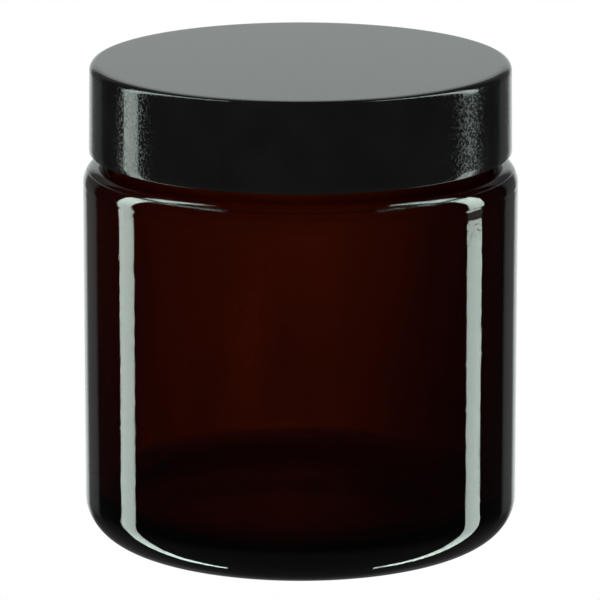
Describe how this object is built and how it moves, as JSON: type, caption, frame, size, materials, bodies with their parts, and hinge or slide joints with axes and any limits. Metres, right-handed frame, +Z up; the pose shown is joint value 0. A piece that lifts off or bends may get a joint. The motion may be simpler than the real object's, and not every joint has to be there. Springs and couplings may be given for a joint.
{
  "type": "cosmetic cream jar",
  "caption": "Straight-sided dark amber glass cream jar with rounded shoulder and heel, and a shallow black screw cap that turns on a helical thread and lifts clear.",
  "frame": {"origin": "centre of the surface the jar stands on, on the jar's axis", "axes": "+Z up along the jar's axis, out of its mouth; the glass thread's lower end starts at +X"},
  "size_m": [0.062, 0.062, 0.0692],
  "materials": {
    "amber_glass": "glossy dark amber",
    "black_thermoset": "semi-gloss black with a fine moulded texture",
    "white_foam": "matte closed-cell foam",
    "clear_film": "smooth milky film"
  },
  "bodies": {
    "jar": {"glass_jar": "amber_glass"},
    "liner": {"liner_foam_core": "white_foam", "liner_upper_film": "clear_film", "liner_lower_film": "clear_film"},
    "cap": {"screw_cap": "black_thermoset"}
  },
  "joints": [
    {"name": "cap_lift", "type": "slide", "parent": "jar", "child": "liner", "axis": [0, 0, 1], "range_m": [0, 0.01482]},
    {"name": "cap_turn", "type": "hinge", "parent": "liner", "child": "cap", "pos_m": [0, 0, 0.0627], "axis": [0, 0, 1], "range_deg": [0, 1260]}
  ],
  "couplings": [
    {"joint": "cap_lift", "follows": "cap_turn", "m_per_rad": 0.00067376}
  ]
}
